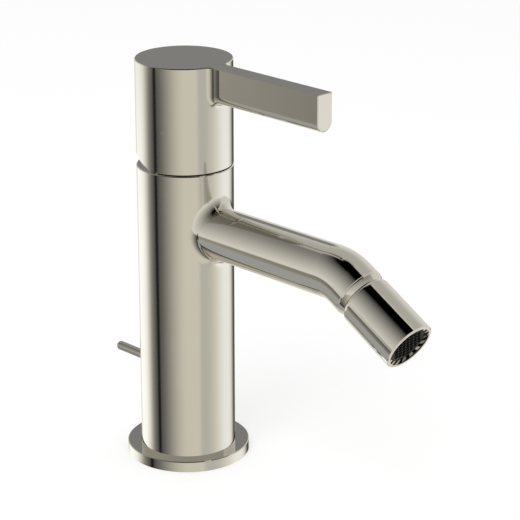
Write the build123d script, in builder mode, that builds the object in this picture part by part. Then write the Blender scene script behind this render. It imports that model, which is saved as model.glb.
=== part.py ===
"""A single-lever bidet mixer with a swivelling outlet and a pop-up waste rod.

The mixer stands on Z = 0 with its column on the Z axis. The spout and the lever point
towards -Y and the waste rod towards +Y. All lengths are in millimetres.
"""

from build123d import *

import math
import os

os.makedirs("parts", exist_ok=True)

# Fits and overruns that several pieces share.
slip_fit = 0.05
turning_fit = 0.08
working_gap = 0.3
seal_ease = 0.02
overrun = 2.0

# Column, one casting with the spout.
column_radius = 20.0
column_top = 127.6
column_edge = 0.35
column_wall = 3.6

# Base ring and what seals it.
ring_overhang = 5.9
ring_thickness = 4.6
ring_edge = 0.3
spigot_inset = 1.4
spigot_depth = 3.0
ring_seal_radius = 0.5
ring_seal_width = 1.2
ring_seal_low = 2.3
gasket_inner_share = 0.3
gasket_outer_share = 0.77
gasket_thickness = 1.4

# Base block with the stud thread, the hose inlets and the tube sockets.
spigot_wall = 1.6
block_height = 16.0
stud_radius = 4.0
stud_depth = 9.5
hose_radius = 5.0
hose_depth = 7.0
hose_x_share = 0.506
hose_y_share = 0.341
block_seal_radius = 0.6
block_seal_width = 1.5
block_seal_low = 12.6

# Feed tubes from the block to the valve.
tube_radius = 4.0
tube_bore_radius = 2.5
tube_x_share = 0.4
tube_y_share = 0.275
tube_socket_depth = 5.5
tube_end_gap = 0.4
tube_seal_radius = 0.5
tube_seal_width = 1.2
tube_seal_inset = 1.6

# Valve seat in the column, from the column's top down to the web.
cover_seat_depth = 1.6
nut_height = 8.0
nut_seat_wall = 4.5
flange_thickness = 2.0
land_height = 3.0
land_fit = 0.15
chamber_wall = 4.0
chamber_gap = 2.0
web_thickness = 8.0
web_port_x_share = 0.31
web_port_y_share = 0.25
web_port_radius = 2.0

# Cartridge: base, housing and the two ceramic discs.
housing_wall = 2.0
housing_depth = 24.0
housing_collar_wall = 1.4
housing_collar_height = 2.0
housing_flange_ease = 0.3
housing_seal_radius = 0.6
housing_seal_width = 1.4
housing_seal_rise = 1.0
cartridge_base_height = 4.0
base_port_x_share = 0.33
base_port_y_share = 0.265
base_port_radius = 1.9
base_outlet_depth = 2.4
inlet_seal_height = 1.2
disc_seal_height = 0.8
port_seal_wall = 1.0
locating_pin_radius = 1.0
locating_pin_length = 2.6
locating_pin_share = 0.75
disc_fit = 0.2
disc_thickness = 3.0
disc_port_x_share = 0.356
disc_port_y_share = 0.288
disc_port_radius = 1.8
disc_outlet_share = 0.153
disc_outlet_radius = 2.6
water_film = 0.04
moving_disc_thickness = 3.0
mixing_pocket_depth = 1.6
mixing_pocket_width_share = 1.075
mixing_pocket_length_share = 0.87
mixing_pocket_shift_share = 0.048
mixing_pocket_round = 1.5
carrier_height = 5.6
carrier_lug_depth = 1.3
carrier_lug_height = 1.6
carrier_lug_width = 4.0

# Rotor, pivot pin and stem.
lever_travel_degrees = 20.0
pivot_drop = 2.0
stem_reach = 14.0
stem_ball_radius = 2.4
stem_rod_radius = 1.9
stem_width = 7.0
stem_blade_thickness = 6.0
stem_blade_drop = 6.0
stem_square_rise = 8.0
rotor_flange_height = 8.0
rotor_neck_inset = 4.0
rotor_neck_rise = 5.5
rotor_slot_front = 7.5
rotor_slot_rear = 4.2
rotor_slot_gap = 0.1
rotor_seal_radius = 0.5
rotor_seal_width = 1.2
rotor_seal_rise = 4.2
pivot_pin_radius = 1.25
pivot_pin_inset = 0.4

# Cartridge nut and trim dome.
nut_bore_gap = 0.5
nut_key_width = 3.0
nut_key_depth = 2.5
nut_key_count = 6
dome_inset = 3.22
dome_wall = 1.0
dome_opening_share = 0.667
dome_skirt_wall = 1.1

# Handle with its lever, adapter, grub screw and plug.
handle_gap = 0.5
handle_height = 43.9
handle_edge = 0.3
handle_wall = 3.2
handle_shoulder_width = 1.0
handle_roof = 4.0
handle_bevel_front = 1.4
handle_bevel_degrees = 20.0
lever_reach = 79.2
lever_width = 8.0
lever_height = 15.0
lever_round = 3.6
lever_blend = 3.0
adapter_height = 12.0
adapter_gap = 0.6
adapter_flute_radius = 2.2
adapter_flute_count = 8
grub_radius = 2.5
grub_recess = 1.3
grub_key_width = 2.5
grub_key_depth = 2.6
grub_rise = 6.0
plug_radius = 2.9
plug_recess = 0.15

# Spout, from the column to the end of its tail.
spout_radius = 10.75
spout_axis_height = 102.2
spout_corner_reach = 89.3
spout_drop_degrees = 29.5
spout_bend_radius = 18.0
spout_tail = 10.4
spout_blend = 5.0
spout_edge = 0.2
spout_wall = 2.35
bend_wall = 3.75

# Ball joint of the outlet, along the outlet's axis from the ball's centre.
ball_reach = 7.0
ball_seat_rim = 0.6
ball_bore_radius = 2.4
ball_mouth_radius = 3.8
ball_mouth_depth = 1.6
neck_radius = 4.2
neck_gap = 0.35
nozzle_swing_degrees = 15.0
cap_rim_height = 0.52
cap_inset = 0.15
cap_thread_wall = 1.75
cap_thread_length = 6.2
ball_seat_height = 4.4
ball_seat_bore_radius = 4.6
ball_seat_inset = 0.8
ball_seal_radius = 0.55

# Nozzle and the aerator that it holds, from the ball's centre.
nozzle_end = 33.6
nozzle_crown = 5.8
nozzle_round = 2.2
nozzle_edge = 0.35
nozzle_gap = 0.35
nozzle_wall = 1.3
nozzle_web_end = 16.0
nipple_shoulder = 12.0
nipple_thread_radius = 3.6
aerator_seal_height = 1.2
aerator_seal_width = 3.2
aerator_recess = 1.1
aerator_wall = 1.2
aerator_ledge_width = 1.0
aerator_ledge_height = 8.5
aerator_key_count = 18
aerator_key_width = 1.6
aerator_key_depth = 1.3
diffuser_height = 3.3
diffuser_face = 1.2
diffuser_hole_radius = 0.5
diffuser_circle_shares = [0.32, 0.69]
diffuser_hole_counts = [8, 16]
mesh_thickness = 0.3
mesh_bar = 0.3
mesh_pitch = 1.5
honeycomb_depth = 0.8
honeycomb_cell_width = 1.8
honeycomb_wall = 0.3
honeycomb_skirt = 0.35

# Waste rod: lifting rod, finger rod, guide bush and slot liner.
rod_axis_height = 34.3
rod_reach = 24.9
rod_radius = 2.0
rod_tip_round = 1.5
rod_travel = 14.0
lift_rod_radius = 3.0
lift_rod_foot = 0.8
link_hole_radius = 2.0
link_hole_depth = 9.0
head_width = 8.0
head_height = 10.0
head_edge = 0.6
head_gap = 0.4
rod_end_cover = 0.6
rod_screw_radius = 1.5
rod_screw_recess = 0.4
rod_screw_key_width = 1.5
rod_screw_key_depth = 1.2
bush_radius = 4.1
bush_flange_radius = 4.7
bush_flange_height = 1.4
liner_wall = 1.0
liner_inset = 0.25

# Radii and places in the foot that follow from the column's radius.
dry_bore_radius = column_radius - column_wall
ring_radius = column_radius + ring_overhang
spigot_radius = column_radius - spigot_inset
ring_width = ring_radius - spigot_radius
gasket_inner_radius = spigot_radius + gasket_inner_share * ring_width
gasket_outer_radius = spigot_radius + gasket_outer_share * ring_width
block_radius = spigot_radius - spigot_wall
hose_x = hose_x_share * block_radius
hose_y = -hose_y_share * block_radius
tube_x = tube_x_share * dry_bore_radius
tube_y = -tube_y_share * dry_bore_radius
head_outer_y = math.sqrt((dry_bore_radius - head_gap) ** 2 - (head_width / 2) ** 2)
rod_axis_y = head_outer_y - head_width / 2
rod_tip_y = column_radius + rod_reach

# Radii and places in the valve that follow from the column's radius.
chamber_radius = column_radius - chamber_wall
nut_radius = column_radius - nut_seat_wall
housing_flange_radius = nut_radius - housing_flange_ease
housing_radius = chamber_radius - chamber_gap
land_radius = housing_radius + land_fit
housing_bore_radius = housing_radius - housing_wall
rotor_neck_radius = housing_bore_radius - rotor_neck_inset
housing_collar_radius = rotor_neck_radius + housing_collar_wall
nut_bore_radius = housing_collar_radius + nut_bore_gap
web_port_x = web_port_x_share * chamber_radius
web_port_y = -web_port_y_share * chamber_radius
base_port_x = base_port_x_share * housing_radius
base_port_y = -base_port_y_share * housing_radius
locating_pin_x = locating_pin_share * housing_radius
disc_radius = housing_bore_radius - disc_fit
disc_port_x = disc_port_x_share * disc_radius
disc_port_y = -disc_port_y_share * disc_radius
disc_outlet_y = disc_outlet_share * disc_radius
handle_cavity_radius = column_radius - handle_wall

# Levels up the column that follow from the sizes above.
spigot_low = ring_thickness - spigot_depth
tube_foot = block_height - tube_socket_depth
cover_seat = column_top - cover_seat_depth
flange_top = cover_seat - nut_height
shoulder = flange_top - flange_thickness
land_low = shoulder - land_height
housing_low = shoulder - housing_depth
chamber_floor = housing_low - cartridge_base_height
web_low = chamber_floor - web_thickness
tube_head = web_low + tube_socket_depth
pivot = flange_top - pivot_drop
handle_low = column_top + handle_gap
handle_top = handle_low + handle_height

# Levels and places in the cartridge and the handle.
fixed_disc_top = housing_low + disc_thickness
moving_disc_low = fixed_disc_top + water_film
moving_disc_top = moving_disc_low + moving_disc_thickness
carrier_top = moving_disc_top + carrier_height
rotor_low = carrier_top + working_gap
rotor_flange_top = rotor_low + rotor_flange_height
housing_roof_low = rotor_flange_top + working_gap
rotor_top = pivot + rotor_neck_rise
stem_ball_height = pivot - stem_reach
disc_travel = stem_reach * math.sin(math.radians(lever_travel_degrees))
disc_rest_y = disc_travel / 2
moving_disc_radius = housing_bore_radius - disc_rest_y - working_gap
mixing_pocket_width = mixing_pocket_width_share * moving_disc_radius
mixing_pocket_length = mixing_pocket_length_share * moving_disc_radius
mixing_pocket_shift = mixing_pocket_shift_share * moving_disc_radius
dome_skirt_radius = column_radius - dome_inset
dome_radius = math.hypot(dome_skirt_radius, column_top - pivot)
dome_opening_radius = dome_opening_share * dome_skirt_radius
adapter_low = pivot + dome_radius + adapter_gap
adapter_top = adapter_low + adapter_height
grub_height = adapter_low + grub_rise
grub_length = handle_cavity_radius - stem_width / 2 - grub_recess

# Radii of the spout and the outlet, and places along the outlet's axis from the ball's centre.
tail_end = spout_tail - ball_reach
spout_bore_radius = spout_radius - spout_wall
bend_bore_radius = spout_radius - bend_wall
cap_flange_radius = spout_radius - cap_inset
cap_face_radius = math.hypot(cap_flange_radius, tail_end + cap_rim_height)
cap_thread_radius = spout_radius - cap_thread_wall
ball_seat_radius = cap_thread_radius - ball_seat_inset
ball_radius = ball_seat_radius - ball_seat_rim
nozzle_radius = spout_radius
nozzle_bore_radius = nozzle_radius - nozzle_wall
cap_thread_end = tail_end - cap_thread_length
ball_seat_front = cap_thread_end - working_gap
ball_seat_back = ball_seat_front - ball_seat_height
ball_chamber_end = ball_seat_back - 2 * ball_seal_radius
aerator_seal_end = nozzle_web_end + aerator_seal_height
aerator_face = nozzle_end - aerator_recess
ledge_start = aerator_seal_end + diffuser_height
ledge_end = ledge_start + aerator_ledge_height
mesh_end = ledge_end + mesh_thickness
honeycomb_start = aerator_face - honeycomb_depth
ball_socket_radius = ball_radius + slip_fit
ball_chamber_radius = ball_seat_radius + turning_fit
aerator_radius = nozzle_bore_radius - slip_fit
aerator_bore_radius = aerator_radius - aerator_wall
aerator_ledge_radius = aerator_bore_radius - aerator_ledge_width
aerator_seal_inner_radius = aerator_radius - aerator_seal_width
insert_radius = aerator_bore_radius - slip_fit


def level(height):
    """Return the level plane at a height above the foot."""
    return Plane.XY.offset(height)


def discs(plane, radius, places):
    """Return round faces of one radius at places on a plane."""
    with BuildSketch(plane) as faces:
        with Locations(*places):
            Circle(radius)
    return faces.sketch


def disc(plane, radius, inner_radius=0):
    """Return a round face, or a ring where it has an inner radius."""
    with BuildSketch(plane) as face:
        Circle(radius)
        if inner_radius > 0:
            Circle(inner_radius, mode=Mode.SUBTRACT)
    return face.sketch


def block_face(plane, x_size, y_size, centre=(0, 0)):
    """Return a rectangle on a plane, round its centre."""
    with BuildSketch(plane) as face:
        with Locations(centre):
            Rectangle(x_size, y_size)
    return face.sketch


def outline(plane, points):
    """Return the face inside a closed outline of straight runs."""
    with BuildSketch(plane) as face:
        with BuildLine():
            Polyline(*points, close=True)
        make_face()
    return face.sketch


def band(inner_radius, outer_radius, low, high):
    """Return the section of a ring round the column's axis."""
    corners = [(inner_radius, low), (outer_radius, low), (outer_radius, high), (inner_radius, high)]
    return outline(Plane.XZ, corners)


def mirrored(x, y):
    """Return a place on the left and its mirror image on the right."""
    return [(-x, y), (x, y)]


def sphere_height(radius, distance):
    """Return how far above its centre a sphere stands at a distance from its axis."""
    return math.sqrt(radius**2 - distance**2)


# Planes of the spout, which drops at its corner, and of the outlet at its end.
drop = math.radians(spout_drop_degrees)
outlet_way = (0, -math.cos(drop), -math.sin(drop))
bend_tangent = spout_bend_radius * math.tan(drop / 2)
spout_plane = Plane((0, 0, spout_axis_height), x_dir=(1, 0, 0), z_dir=(0, -1, 0))
bend_plane = spout_plane.offset(spout_corner_reach - bend_tangent)
corner_plane = Plane(
    spout_plane.offset(spout_corner_reach).origin, x_dir=(1, 0, 0), z_dir=outlet_way
)
tail_plane = corner_plane.offset(bend_tangent)
joint_plane = corner_plane.offset(ball_reach)
bend_axis = Axis(bend_plane.origin - Vector(0, 0, spout_bend_radius), (1, 0, 0))
outlet_axis = Axis(joint_plane.origin, outlet_way)
outlet_section = Plane(
    joint_plane.origin, x_dir=(1, 0, 0), z_dir=(0, math.sin(drop), -math.cos(drop))
)


def across_outlet(distance):
    """Return the plane across the outlet's axis at a distance from the ball's centre."""
    return joint_plane.offset(distance)


def joint_point(radius, angle):
    """Return the point of the outlet's section at an angle from its axis."""
    return (radius * math.sin(angle), radius * math.cos(angle))


def joint_arc(radius, start, end):
    """Draw an arc of the outlet's section round the ball's centre."""
    return ThreePointArc(
        joint_point(radius, start),
        joint_point(radius, (start + end) / 2),
        joint_point(radius, end),
    )


# Base ring, with a seat for the gasket below and a groove for its seal inside.
ring_groove_radius = spigot_radius + 2 * ring_seal_radius

with BuildPart() as base_ring:
    extrude(disc(Plane.XY, ring_radius, spigot_radius + slip_fit), amount=ring_thickness)
    ring_rim = base_ring.edges().filter_by(GeomType.CIRCLE).group_by(Axis.Z)[-1]
    chamfer(ring_rim.sort_by(SortBy.RADIUS)[-1], length=ring_edge)
    extrude(
        disc(Plane.XY, gasket_outer_radius, gasket_inner_radius),
        amount=gasket_thickness,
        mode=Mode.SUBTRACT,
    )
    revolve(
        band(spigot_radius, ring_groove_radius, ring_seal_low, ring_seal_low + ring_seal_width),
        axis=Axis.Z,
        mode=Mode.SUBTRACT,
    )

with BuildPart() as base_gasket:
    extrude(
        disc(Plane.XY, gasket_outer_radius - slip_fit, gasket_inner_radius + slip_fit),
        amount=gasket_thickness,
    )

with BuildPart() as ring_seal:
    with Locations((0, 0, ring_seal_low + ring_seal_width / 2)):
        Torus(spigot_radius + ring_seal_radius, ring_seal_radius - seal_ease)

# Base block, screwed into the column from below.
tube_places = mirrored(tube_x, tube_y)
hose_places = mirrored(hose_x, hose_y)
link_places = mirrored((tube_x + hose_x) / 2, (tube_y + hose_y) / 2)
block_groove_radius = block_radius - 2 * block_seal_radius
tube_socket_radius = tube_radius + slip_fit

with BuildPart() as base_block:
    extrude(disc(Plane.XY, block_radius), amount=block_height)
    extrude(disc(Plane.XY, stud_radius), amount=stud_depth, mode=Mode.SUBTRACT)
    extrude(discs(Plane.XY, hose_radius, hose_places), amount=hose_depth, mode=Mode.SUBTRACT)
    extrude(
        discs(level(hose_depth), tube_bore_radius, link_places),
        amount=tube_foot - hose_depth,
        mode=Mode.SUBTRACT,
    )
    extrude(
        discs(level(tube_foot), tube_socket_radius, tube_places),
        amount=tube_socket_depth,
        mode=Mode.SUBTRACT,
    )
    extrude(
        discs(Plane.XY, bush_radius, [(0, rod_axis_y)]), amount=block_height, mode=Mode.SUBTRACT
    )
    revolve(
        band(
            block_groove_radius,
            block_radius + overrun,
            block_seal_low,
            block_seal_low + block_seal_width,
        ),
        axis=Axis.Z,
        mode=Mode.SUBTRACT,
    )

with BuildPart() as block_seal:
    with Locations((0, 0, block_seal_low + block_seal_width / 2)):
        Torus(block_radius - block_seal_radius, block_seal_radius - seal_ease)

# Feed tubes, hot on the left, each with a seal groove at either end.
tube_low = tube_foot + tube_end_gap
tube_high = tube_head - tube_end_gap
tube_groove_radius = tube_socket_radius - 2 * tube_seal_radius
tube_seal_levels = [
    tube_low + tube_seal_inset,
    tube_high - tube_seal_inset - tube_seal_width,
]
feed_tubes = {}
for tube_name, tube_place in zip(["hot_tube", "cold_tube"], tube_places):
    with BuildPart() as feed_tube:
        extrude(discs(level(tube_low), tube_radius, [tube_place]), amount=tube_high - tube_low)
        extrude(
            discs(level(tube_low), tube_bore_radius, [tube_place]),
            amount=tube_high - tube_low,
            mode=Mode.SUBTRACT,
        )
        for seal_level in tube_seal_levels:
            with BuildSketch(level(seal_level)):
                with Locations(tube_place):
                    Circle(tube_radius + overrun)
                    Circle(tube_groove_radius, mode=Mode.SUBTRACT)
            extrude(amount=tube_seal_width, mode=Mode.SUBTRACT)
    feed_tubes[tube_name] = feed_tube

with BuildPart() as tube_seals:
    for seal_level in tube_seal_levels:
        for x, y in tube_places:
            with Locations((x, y, seal_level + tube_seal_width / 2)):
                Torus(tube_socket_radius - tube_seal_radius, tube_seal_radius - seal_ease)

# Body: the column and the spout, one casting, hollow for the waste rod and the water.
rod_slot_radius = rod_radius + working_gap
liner_radius = rod_slot_radius + liner_wall
rod_slot_plane = Plane(
    (0, rod_axis_y, rod_axis_height + rod_travel / 2), x_dir=(0, 0, 1), z_dir=(0, 1, 0)
)
column_bores = [
    (block_radius, spigot_low, block_height),
    (dry_bore_radius, block_height, web_low),
    (chamber_radius, chamber_floor, land_low),
    (land_radius, land_low, shoulder),
    (nut_radius, shoulder, cover_seat),
    (dome_skirt_radius + turning_fit, cover_seat, column_top),
]


def rod_slot(radius):
    """Return the upright slot of the waste rod with ends of a radius."""
    with BuildSketch(rod_slot_plane) as slot:
        SlotCenterToCenter(rod_travel, 2 * radius)
    return slot.sketch


with BuildPart() as body:
    extrude(disc(level(ring_thickness), column_radius), amount=column_top - ring_thickness)
    chamfer(body.faces().sort_by(Axis.Z)[-1].edges(), length=column_edge)
    extrude(disc(spout_plane, spout_radius), amount=spout_corner_reach - bend_tangent)
    fillet(body.edges(Select.NEW), radius=spout_blend)
    revolve(
        disc(bend_plane, spout_radius), axis=bend_axis, revolution_arc=spout_drop_degrees
    )
    extrude(disc(tail_plane, spout_radius), amount=spout_tail - bend_tangent)
    chamfer(body.faces().sort_by(outlet_axis)[-1].edges(), length=spout_edge)
    extrude(disc(level(spigot_low), spigot_radius), amount=spigot_depth)
    for bore_radius, bore_low, bore_high in column_bores:
        extrude(
            disc(level(bore_low), bore_radius), amount=bore_high - bore_low, mode=Mode.SUBTRACT
        )
    extrude(
        discs(level(web_low), tube_socket_radius, tube_places),
        amount=tube_socket_depth,
        mode=Mode.SUBTRACT,
    )
    extrude(
        discs(level(tube_head), web_port_radius, mirrored(web_port_x, web_port_y)),
        amount=chamber_floor - tube_head,
        mode=Mode.SUBTRACT,
    )
    extrude(
        discs(level(chamber_floor), locating_pin_radius + slip_fit, mirrored(locating_pin_x, 0)),
        amount=-locating_pin_length - working_gap,
        mode=Mode.SUBTRACT,
    )
    extrude(
        disc(spout_plane, spout_bore_radius),
        amount=spout_corner_reach - bend_tangent,
        mode=Mode.SUBTRACT,
    )
    revolve(
        disc(bend_plane, bend_bore_radius),
        axis=bend_axis,
        revolution_arc=spout_drop_degrees,
        mode=Mode.SUBTRACT,
    )
    extrude(
        disc(across_outlet(ball_chamber_end), ball_chamber_radius),
        amount=tail_end - ball_chamber_end,
        mode=Mode.SUBTRACT,
    )
    extrude(
        disc(across_outlet(cap_thread_end), cap_thread_radius),
        amount=cap_thread_length,
        mode=Mode.SUBTRACT,
    )
    extrude(rod_slot(liner_radius), amount=column_radius, mode=Mode.SUBTRACT)

# Cartridge base with its two inlets, its outlet to the rear and its locating pins.
base_ports = mirrored(base_port_x, base_port_y)
port_seal_radius = base_port_radius + port_seal_wall

with BuildPart() as cartridge_base:
    extrude(disc(level(chamber_floor), housing_radius), amount=cartridge_base_height)
    extrude(
        discs(level(chamber_floor), locating_pin_radius, mirrored(locating_pin_x, 0)),
        amount=-locating_pin_length,
    )
    extrude(
        discs(level(chamber_floor), base_port_radius, base_ports),
        amount=cartridge_base_height,
        mode=Mode.SUBTRACT,
    )
    extrude(
        discs(level(chamber_floor), port_seal_radius, base_ports),
        amount=inlet_seal_height,
        mode=Mode.SUBTRACT,
    )
    extrude(
        discs(level(housing_low), port_seal_radius, base_ports),
        amount=-disc_seal_height,
        mode=Mode.SUBTRACT,
    )
    with BuildSketch(level(housing_low)):
        with Locations((0, disc_outlet_y)):
            Circle(disc_outlet_radius)
        with Locations((0, disc_outlet_y + housing_radius / 2)):
            Rectangle(2 * disc_outlet_radius, housing_radius)
    extrude(amount=-base_outlet_depth, mode=Mode.SUBTRACT)


def port_seals(low, height):
    """Return a pair of rubber rings round the ports of the cartridge's base."""
    with BuildPart() as seals:
        extrude(discs(level(low), port_seal_radius - slip_fit, base_ports), amount=height)
        extrude(
            discs(level(low), base_port_radius, base_ports), amount=height, mode=Mode.SUBTRACT
        )
    return seals


inlet_seals = port_seals(chamber_floor, inlet_seal_height)
disc_seals = port_seals(housing_low - disc_seal_height, disc_seal_height)

# Ceramic discs: the fixed one has the ports, the moving one the mixing pocket below.
with BuildPart() as fixed_disc:
    extrude(disc(level(housing_low), disc_radius), amount=disc_thickness)
    extrude(
        discs(level(housing_low), disc_port_radius, mirrored(disc_port_x, disc_port_y)),
        amount=disc_thickness,
        mode=Mode.SUBTRACT,
    )
    extrude(
        discs(level(housing_low), disc_outlet_radius, [(0, disc_outlet_y)]),
        amount=disc_thickness,
        mode=Mode.SUBTRACT,
    )


def carrier_lugs(plane, gap):
    """Return the faces of the two lugs that join the carrier and the moving disc."""
    lug_x = moving_disc_radius - carrier_lug_depth / 2
    with BuildSketch(plane) as lugs:
        with Locations(*mirrored(lug_x, disc_rest_y)):
            Rectangle(carrier_lug_depth + 2 * gap, carrier_lug_width + 2 * gap)
        with Locations((0, disc_rest_y)):
            Circle(moving_disc_radius + gap, mode=Mode.INTERSECT)
    return lugs.sketch


with BuildPart() as moving_disc:
    extrude(
        discs(level(moving_disc_low), moving_disc_radius, [(0, disc_rest_y)]),
        amount=moving_disc_thickness,
    )
    with BuildSketch(level(moving_disc_low)):
        with Locations((0, disc_rest_y + mixing_pocket_shift)):
            RectangleRounded(mixing_pocket_width, mixing_pocket_length, mixing_pocket_round)
    extrude(amount=mixing_pocket_depth, mode=Mode.SUBTRACT)
    extrude(
        carrier_lugs(level(moving_disc_top), slip_fit),
        amount=-carrier_lug_height - slip_fit,
        mode=Mode.SUBTRACT,
    )

with BuildPart() as disc_carrier:
    extrude(
        discs(level(moving_disc_top), moving_disc_radius, [(0, disc_rest_y)]),
        amount=carrier_height,
    )
    extrude(carrier_lugs(level(moving_disc_top), 0), amount=-carrier_lug_height)
    extrude(
        disc(level(stem_ball_height - stem_ball_radius - working_gap), stem_ball_radius + working_gap),
        amount=carrier_height,
        mode=Mode.SUBTRACT,
    )

# Cartridge housing, clamped on the column's shoulder by its flange.
housing_seal_low = land_low + housing_seal_rise
housing_groove_radius = land_radius - 2 * housing_seal_radius

with BuildPart() as cartridge_housing:
    extrude(disc(level(housing_low), housing_radius), amount=housing_depth)
    extrude(disc(level(shoulder), housing_flange_radius), amount=flange_thickness)
    extrude(disc(level(flange_top), housing_collar_radius), amount=housing_collar_height)
    extrude(
        disc(level(housing_low), housing_bore_radius),
        amount=housing_roof_low - housing_low,
        mode=Mode.SUBTRACT,
    )
    extrude(
        disc(level(housing_roof_low), rotor_neck_radius + slip_fit),
        amount=flange_top + housing_collar_height - housing_roof_low,
        mode=Mode.SUBTRACT,
    )
    revolve(
        band(
            housing_groove_radius,
            housing_radius + overrun,
            housing_seal_low,
            housing_seal_low + housing_seal_width,
        ),
        axis=Axis.Z,
        mode=Mode.SUBTRACT,
    )

with BuildPart() as housing_seal:
    with Locations((0, 0, housing_seal_low + housing_seal_width / 2)):
        Torus(land_radius - housing_seal_radius, housing_seal_radius - seal_ease)

# Rotor, which turns in the housing and carries the stem on a cross pin.
rotor_radius = housing_bore_radius - slip_fit
rotor_seal_low = rotor_low + rotor_seal_rise
rotor_groove_radius = housing_bore_radius - 2 * rotor_seal_radius
rotor_slot_width = stem_blade_thickness + 2 * rotor_slot_gap
pin_half_length = sphere_height(rotor_neck_radius, pivot_pin_radius) - pivot_pin_inset
pivot_plane = Plane((-pin_half_length, 0, pivot), x_dir=(0, 1, 0), z_dir=(1, 0, 0))

with BuildPart() as rotor:
    extrude(disc(level(rotor_low), rotor_radius), amount=rotor_flange_height)
    extrude(
        disc(level(rotor_flange_top), rotor_neck_radius), amount=rotor_top - rotor_flange_top
    )
    extrude(
        block_face(
            level(rotor_low),
            rotor_slot_width,
            rotor_slot_front + rotor_slot_rear,
            (0, (rotor_slot_rear - rotor_slot_front) / 2),
        ),
        amount=rotor_flange_height,
        mode=Mode.SUBTRACT,
    )
    extrude(
        block_face(level(rotor_flange_top), rotor_slot_width, 2 * rotor_radius),
        amount=rotor_top - rotor_flange_top,
        mode=Mode.SUBTRACT,
    )
    extrude(disc(pivot_plane, pivot_pin_radius), amount=2 * pin_half_length, mode=Mode.SUBTRACT)
    revolve(
        band(
            rotor_groove_radius,
            rotor_radius + overrun,
            rotor_seal_low,
            rotor_seal_low + rotor_seal_width,
        ),
        axis=Axis.Z,
        mode=Mode.SUBTRACT,
    )

with BuildPart() as rotor_seal:
    with Locations((0, 0, rotor_seal_low + rotor_seal_width / 2)):
        Torus(
            housing_bore_radius - rotor_seal_radius - seal_ease, rotor_seal_radius - 2 * seal_ease
        )

with BuildPart() as pivot_pin:
    extrude(disc(pivot_plane, pivot_pin_radius), amount=2 * pin_half_length)

# Stem: a ball that moves the disc, a blade on the pin and a square for the handle.
stem_top = adapter_top - working_gap

with BuildPart() as stem:
    with Locations((0, 0, stem_ball_height)):
        Sphere(stem_ball_radius)
    extrude(
        disc(level(stem_ball_height), stem_rod_radius), amount=stem_reach - stem_blade_drop
    )
    extrude(
        block_face(level(pivot - stem_blade_drop), stem_blade_thickness, stem_width),
        amount=stem_blade_drop + stem_square_rise,
    )
    extrude(
        block_face(level(pivot + stem_square_rise), stem_width, stem_width),
        amount=stem_top - pivot - stem_square_rise,
    )
    extrude(
        disc(pivot_plane, pivot_pin_radius + slip_fit),
        amount=2 * pin_half_length,
        mode=Mode.SUBTRACT,
    )

# Cartridge nut with key slots, and the trim dome over it.
nut_wall = nut_radius - nut_bore_radius

with BuildPart() as cartridge_nut:
    extrude(disc(level(flange_top), nut_radius, nut_bore_radius), amount=nut_height)
    with BuildSketch(level(cover_seat)):
        with PolarLocations(nut_bore_radius + nut_wall / 2, nut_key_count):
            Rectangle(nut_wall + 2 * overrun, nut_key_width)
    extrude(amount=-nut_key_depth, mode=Mode.SUBTRACT)

dome_inner_radius = dome_radius - dome_wall
dome_skirt_inner_radius = dome_skirt_radius - dome_skirt_wall


def dome_point(radius, distance):
    """Return the point of the dome's section at a distance from the axis."""
    return (distance, pivot + sphere_height(radius, distance))


def dome_arc(radius, start, end):
    """Draw an arc of the dome's section round the pivot."""
    return ThreePointArc(
        dome_point(radius, start), dome_point(radius, (start + end) / 2), dome_point(radius, end)
    )


with BuildPart() as trim_dome:
    with BuildSketch(Plane.XZ):
        with BuildLine():
            outer_arc = dome_arc(dome_radius, dome_opening_radius, dome_skirt_radius)
            inner_arc = dome_arc(dome_inner_radius, dome_opening_radius, dome_skirt_inner_radius)
            Line(outer_arc @ 0, inner_arc @ 0)
            Polyline(
                outer_arc @ 1,
                (dome_skirt_radius, cover_seat),
                (dome_skirt_inner_radius, cover_seat),
                inner_arc @ 1,
            )
        make_face()
    revolve(axis=Axis.Z)

# Handle: a cap of the column's diameter with a flat lever, bevelled below at the rear.
lever_plane = Plane((0, 0, handle_top), x_dir=(1, 0, 0), z_dir=(0, -1, 0))
bevel_rear = column_radius + overrun
bevel_rise = (bevel_rear + handle_bevel_front) * math.tan(math.radians(handle_bevel_degrees))
grub_plane = Plane((0, stem_width / 2, grub_height), x_dir=(1, 0, 0), z_dir=(0, 1, 0))

with BuildPart() as handle:
    extrude(disc(level(handle_low), column_radius), amount=handle_height)
    with BuildSketch(lever_plane) as lever_section:
        with Locations((0, -lever_height / 2)):
            Rectangle(lever_width, lever_height)
        fillet(lever_section.vertices().group_by(Axis.Y)[0], radius=lever_round)
    extrude(amount=lever_reach)
    fillet(handle.edges(Select.NEW), radius=lever_blend)
    top_edges = handle.faces().sort_by(Axis.Z)[-1].edges()
    tip_edges = handle.faces().sort_by(Axis.Y)[0].edges().sort_by(Axis.Z)[:-1]
    chamfer(top_edges + tip_edges, length=handle_edge)
    extrude(
        outline(
            Plane.YZ,
            [
                (-handle_bevel_front, handle_low),
                (bevel_rear, handle_low + bevel_rise),
                (bevel_rear, handle_low - overrun),
                (-handle_bevel_front, handle_low - overrun),
            ],
        ),
        amount=bevel_rear,
        both=True,
        mode=Mode.SUBTRACT,
    )
    front_rim = handle.faces().sort_by(Axis.Z)[0].edges().filter_by(GeomType.CIRCLE)
    chamfer(front_rim + handle.edges().filter_by(GeomType.ELLIPSE), length=handle_edge)
    extrude(
        disc(level(handle_low), handle_cavity_radius),
        amount=adapter_top - handle_low,
        mode=Mode.SUBTRACT,
    )
    extrude(
        disc(level(adapter_top), handle_cavity_radius - handle_shoulder_width),
        amount=handle_top - handle_roof - adapter_top,
        mode=Mode.SUBTRACT,
    )
    extrude(
        disc(grub_plane, plug_radius + slip_fit), amount=column_radius, mode=Mode.SUBTRACT
    )

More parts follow.
